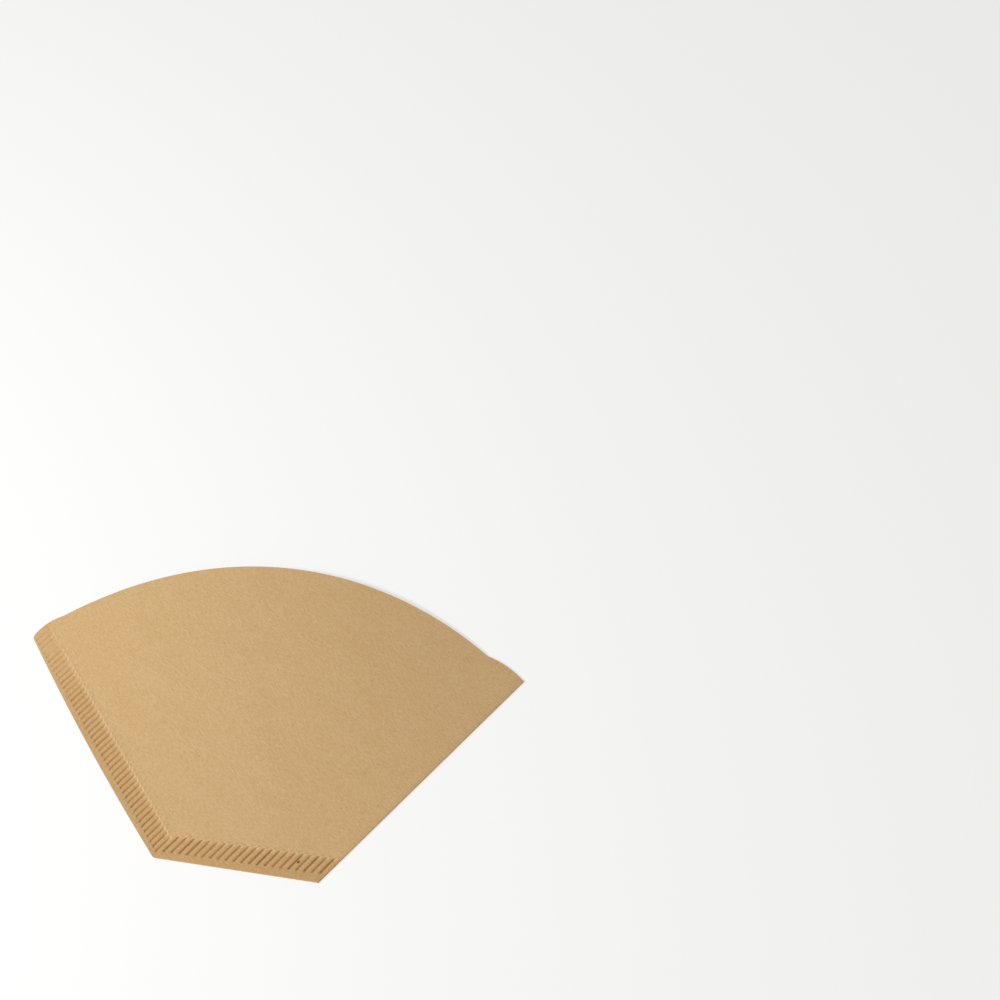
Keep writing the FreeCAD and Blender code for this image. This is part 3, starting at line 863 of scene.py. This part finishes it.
def creped_paper(look, plan):
    """Unbleached creped filter paper, soft wood pulp pressed on a wire and creped off a roll:
    matt, warm tan, with short crepe lines nearly square to the fold, cloudy pulp, lighter
    loose fibre with a painted highlight along cut edges, seams darkened partly by their pressed
    pulp and partly by painted shade of the bars' grooves, and a few specks of bark."""
    material = bpy.data.materials.new("unbleached_creped_paper")
    material.use_nodes = True
    tree = material.node_tree
    tree.nodes.clear()
    place = add_node(tree, "ShaderNodeTexCoord").outputs["Object"]
    heading = math.atan2(plan.up.y, plan.up.x)

    # Crepe lines: noise drawn out nearly square to the fold
    web = add_node(tree, "ShaderNodeMapping",
                   {"Vector": place, "Rotation": (0, 0, -heading - look.crepe_turn)})
    drawn_out = add_node(tree, "ShaderNodeMapping",
                         {"Vector": web, "Scale": (1 / look.crepe_pitch, 1 / look.crepe_run,
                                                   1 / look.crepe_pitch)})
    crepe = add_node(tree, "ShaderNodeTexNoise",
                     {"Vector": drawn_out, "Scale": 1.0, "Detail": 2.0, "Roughness": 0.6,
                      "Distortion": 0.2})
    # Loose fibres, drawn at twice their real width so that they show
    fibre = add_node(tree, "ShaderNodeTexNoise",
                     {"Vector": place, "Scale": 1 / look.fibre_size, "Detail": 3.0,
                      "Roughness": 0.7})
    # Thick and thin clouds of pulp, drawn out the same way
    stretched = add_node(tree, "ShaderNodeMapping",
                         {"Vector": web, "Scale": (1, 1 / CLOUD_DRAW, 1)})
    cloud = add_node(tree, "ShaderNodeTexNoise",
                     {"Vector": stretched, "Scale": 1 / look.cloud_size, "Detail": 4.0,
                      "Roughness": 0.7})

    # Bark: pinpoints, one in a few cells, and one grain that stands out beside the fold
    cells = add_node(tree, "ShaderNodeTexVoronoi",
                     {"Vector": place, "Scale": 1 / look.bark_spacing},
                     voronoi_dimensions="2D")
    chance = add_node(tree, "ShaderNodeSeparateColor", (cells.outputs["Color"],))
    radius = look.grain_length / 2
    grain_frame = add_node(tree, "ShaderNodeMapping",
                           {"Vector": place, "Location": (look.grain_x, look.grain_y, 0),
                            "Rotation": (0, 0, heading),
                            "Scale": (radius, radius * GRAIN_WIDTH, 1)},
                           vector_type="TEXTURE")
    from_grain = add_node(tree, "ShaderNodeVectorMath", (grain_frame,), operation="LENGTH")

    # Lighter loose fibre along the cut edges, with a painted highlight where they catch the
    # light, and seams that are darker and warmer, their bars' grooves most of all: partly the
    # pressed pulp's own colour, partly painted shade
    gap = add_node(tree, "ShaderNodeAttribute", attribute_name="edge_gap").outputs["Fac"]
    dense_and_shade = add_node(tree, "ShaderNodeAttribute", attribute_name="dense_and_shade").outputs["Fac"]
    edge, grain = [add_node(tree, "ShaderNodeMapRange",
                            {"Value": value, "From Min": outside, "From Max": inside,
                             "To Max": share}, interpolation_type="SMOOTHSTEP")
                   for value, outside, inside, share in (
                       (gap, EDGE_LIP, 0.0, EDGE_FIBRE_AND_HIGHLIGHT),
                       (from_grain, GRAIN_OUTSIDE, GRAIN_INSIDE, GRAIN_SHARE))]

    at = {"crepe": crepe, "fibre": fibre, "cloud": cloud, "cells": cells, "chance": chance,
          "size chance": chance.outputs[1], "grain": grain}
    for name, operation, *terms in (
            ("tone", "MULTIPLY", "crepe", CREPE_SHARE),
            ("tone", "MULTIPLY_ADD", "fibre", FIBRE_SHARE, "tone"),
            ("tone", "MULTIPLY_ADD", "cloud", CLOUD_SHARE, "tone"),
            ("rare", "GREATER_THAN", "chance", BARK_FROM),
            ("size", "MULTIPLY_ADD", "size chance", SPECK_MORE, SPECK_LEAST),
            ("within", "LESS_THAN", "cells", "size"),
            ("speck", "MULTIPLY", "rare", "within"),
            ("speck", "MULTIPLY", "speck", SPECK_SHARE),
            ("bark", "MAXIMUM", "speck", "grain"),
            # Relief of the crepe and the fibres
            ("height", "MULTIPLY", "crepe", CREPE_RELIEF),
            ("height", "MULTIPLY_ADD", "fibre", FIBRE_RELIEF, "height")):
        at[name] = add_node(tree, MATH, [at.get(term, term) for term in terms],
                            operation=operation, label=name)

    # Colour: the pulp's light and dark, then what lies over them
    darker, paler = [add_node(tree, "ShaderNodeMapRange",
                              {"Value": at["tone"], "From Min": TONE_MIDDLE,
                               "From Max": TONE_MIDDLE + spread})
                     for spread in (-TONE_SPREAD, TONE_SPREAD)]
    base = (*look.pulp, 1)
    # The seams' tint lays painted shade over the bars' grooves; the cut edges' colour lays a
    # painted highlight along them
    for factor, tint, blend in ((darker, look.dark_pulp, "MIX"), (paler, look.pale_pulp, "MIX"),
                                (dense_and_shade, look.pressed_and_shade_tint, "MULTIPLY"),
                                (edge, look.cut_fibre_and_highlight, "MIX"),
                                (at["bark"], look.bark, "MIX")):
        base = add_node(tree, "ShaderNodeMix",
                        {FACTOR: factor, COLOUR_A: base, COLOUR_B: (*tint, 1)},
                        data_type="RGBA", blend_type=blend)

    relief = add_node(tree, "ShaderNodeBump",
                      {"Height": at["height"], "Strength": 0.8, "Distance": look.crepe_height})
    shader = add_node(tree, "ShaderNodeBsdfPrincipled",
                      {"Base Color": base, "Normal": relief, "Roughness": look.roughness,
                       "IOR": 1.45, "Specular IOR Level": 0.25})
    add_node(tree, "ShaderNodeOutputMaterial", {"Surface": shader})
    return material


class PAPERFILTER_OT_sheet(bpy.types.Operator):
    """Folds, crimps and finishes the filter's one sheet of paper"""
    bl_idname = "paperfilter.make_sheet"
    bl_label = "Make the filter sheet"

    def execute(self, context):
        cut = context.scene.filter_outline
        crimp = context.scene.filter_crimp
        look = context.scene.filter_paper
        plan = SheetPlan(cut, crimp)
        sheet = bpy.data.objects.new("filter_sheet", sheet_mesh(plan))
        context.collection.objects.link(sheet)

        modifier = sheet.modifiers.new("crimp_and_bow", "NODES")
        modifier.node_group = crimp_tree()
        set_inputs(modifier, {
            "Corner": plan.corner, "Bar width": crimp.bar_width, "Wall run": crimp.wall_run,
            "Depth": crimp.depth, "Relief": crimp.relief,
            "Side first": plan.side_first, "Side step": plan.side_step,
            "Side start": plan.side_span[0], "Side end": plan.side_span[1],
            "Foot first": plan.foot_first, "Foot step": plan.foot_step,
            "Foot start": plan.foot_span[0], "Foot end": plan.foot_span[1],
            "Side bars": plan.side_count, "Foot bars": plan.foot_count,
            "First faint": crimp.faint_first, "Last faint": crimp.faint_last,
            "Dot run": crimp.bar_width, "Spread": crimp.spread, "Seed": crimp.seed,
            "Fade from": crimp.fade_from, "Mouth share": crimp.mouth_share,
            "Foot share": crimp.foot_share, "Rim": crimp.inner_rim,
            "Bead share": crimp.bead_share, "Bar shade": crimp.bar_shade,
            "Gape": CAD_HIGH.z - plan.top, "Cockle height": look.cockle_height,
            "Cockle size": look.cockle_size, "Paper": creped_paper(look, plan),
        })
        graph = context.evaluated_depsgraph_get()
        made = bpy.data.meshes.new_from_object(sheet.evaluated_get(graph))
        sheet.modifiers.remove(modifier)
        sheet.data = made
        for name in FIELDS:
            made.attributes.remove(made.attributes[name])
        if not made.polygons:
            raise RuntimeError("the sheet came out empty")
        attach(sheet, "root")
        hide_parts(NODE)
        return {"FINISHED"}


def seen_rays(tree):
    """1 for what the camera sees, itself or through gloss or glass, and 0 for lighting."""
    path = add_node(tree, "ShaderNodeLightPath").outputs
    seen = add_node(tree, MATH, (path["Is Camera Ray"], path["Is Glossy Ray"]),
                    operation="MAXIMUM")
    return add_node(tree, MATH, (seen, path["Is Transmission Ray"]), operation="MAXIMUM")


def matt_floor(look):
    """Matt pale paint: two thirds of what the camera sees of it is its own white, so that the
    background stays pale and the object keeps its shadow."""
    material = bpy.data.materials.new("matt_pale_floor")
    material.use_nodes = True
    tree = material.node_tree
    tree.nodes.clear()
    matt = add_node(tree, "ShaderNodeBsdfDiffuse", {"Color": (*look.floor, 1)})
    white = add_node(tree, "ShaderNodeEmission", {"Strength": 1.0})
    share = add_node(tree, MATH, (seen_rays(tree), FLOOR_WHITE), operation="MULTIPLY")
    mixed = add_node(tree, "ShaderNodeMixShader", (share, matt, white))
    add_node(tree, "ShaderNodeOutputMaterial", {"Surface": mixed})
    return material


def pale_world(look):
    """Even light all round, and white wherever the camera looks past the floor."""
    world = bpy.data.worlds.new("pale_studio")
    world.use_nodes = True
    tree = world.node_tree
    tree.nodes.clear()
    strength = add_node(tree, "ShaderNodeMapRange",
                        {"Value": seen_rays(tree), "To Min": look.sky, "To Max": 1.0})
    light = add_node(tree, "ShaderNodeBackground",
                     {"Color": (1, 1, 1, 1), "Strength": strength})
    add_node(tree, "ShaderNodeOutputWorld", {"Surface": light})
    return world


def key_light(look):
    """A round soft light at the crimped side, towards the viewer."""
    light = bpy.data.lights.new("key", "AREA")
    light.shape = "DISK"
    light.size = look.key_size
    level = math.pi * look.key
    light.energy = level * math.pi * look.key_distance ** 2 / math.sin(look.key_height)
    flat = math.cos(look.key_height)
    way = Vector((flat * math.cos(look.key_heading), flat * math.sin(look.key_heading),
                  math.sin(look.key_height)))
    lamp = bpy.data.objects.new("key", light)
    lamp.location = way * look.key_distance
    lamp.rotation_euler = way.to_track_quat("Z", "Y").to_euler()
    return lamp


def photo_camera(look):
    """A pinhole camera at the photograph's viewing angle and framing."""
    data = bpy.data.cameras.new("camera")
    data.sensor_fit = "HORIZONTAL"
    data.lens = data.sensor_width * look.focal_pixels / PHOTO_WIDTH
    data.shift_x = 0.5 - look.centre_right / PHOTO_WIDTH
    data.shift_y = look.centre_down / PHOTO_WIDTH - 0.5
    data.clip_start = 1.0 * MM
    camera = bpy.data.objects.new("camera", data)
    tilt = math.pi / 2.0 - look.camera_down
    aim = Matrix.Rotation(look.camera_heading, 4, "Z") @ Matrix.Rotation(tilt, 4, "X")
    rolled = aim @ Matrix.Rotation(look.camera_roll, 4, "Z")
    place = Vector((look.camera_x, look.camera_y, look.camera_z))
    camera.matrix_world = Matrix.Translation(place) @ rolled
    return camera


class PAPERFILTER_OT_stage(bpy.types.Operator):
    """Sets the floor, the lights and the camera round the filter"""
    bl_idname = "paperfilter.set_stage"
    bl_label = "Set the stage"

    def execute(self, context):
        look = context.scene.filter_stage
        half = look.floor_size / 2.0
        corners = [(-half, -half, 0), (half, -half, 0), (half, half, 0), (-half, half, 0)]
        mesh = bpy.data.meshes.new("floor")
        mesh.from_pydata(corners, [], [(0, 1, 2, 3)])
        mesh.materials.append(matt_floor(look))
        floor = bpy.data.objects.new("floor", mesh)
        camera = photo_camera(look)
        for item in (floor, key_light(look), camera):
            context.collection.objects.link(item)
        context.scene.world = pale_world(look)
        context.scene.camera = camera
        context.scene.view_settings.view_transform = "Standard"
        return {"FINISHED"}


class PAPERFILTER_PT_panel(bpy.types.Panel):
    """Sizes and looks of the paper filter"""
    bl_idname = "PAPERFILTER_PT_panel"
    bl_label = "Paper filter"
    bl_space_type = "VIEW_3D"
    bl_region_type = "UI"
    bl_category = "Paper filter"

    def draw(self, context):
        layout = self.layout
        for name in GROUPS:
            group = getattr(context.scene, name)
            box = layout.box()
            box.label(text=group.bl_rna.description)
            for prop in group.bl_rna.properties:
                if prop.identifier not in ("name", "rna_type"):
                    box.prop(group, prop.identifier)
        layout.operator(PAPERFILTER_OT_sheet.bl_idname)
        layout.operator(PAPERFILTER_OT_stage.bl_idname)


GROUPS = {
    "filter_outline": FilterOutline,
    "filter_crimp": CrimpSizes,
    "filter_paper": PaperLook,
    "filter_stage": StageLook,
}
CLASSES = (*GROUPS.values(), PAPERFILTER_OT_sheet, PAPERFILTER_OT_stage, PAPERFILTER_PT_panel)


def register():
    for item in CLASSES:
        bpy.utils.register_class(item)
    for name, group in GROUPS.items():
        setattr(bpy.types.Scene, name, PointerProperty(type=group))


def unregister():
    for name in GROUPS:
        delattr(bpy.types.Scene, name)
    for item in reversed(CLASSES):
        bpy.utils.unregister_class(item)


def main():
    register()
    bpy.ops.paperfilter.make_sheet()
    bpy.ops.paperfilter.set_stage()


if __name__ == "__main__":
    main()
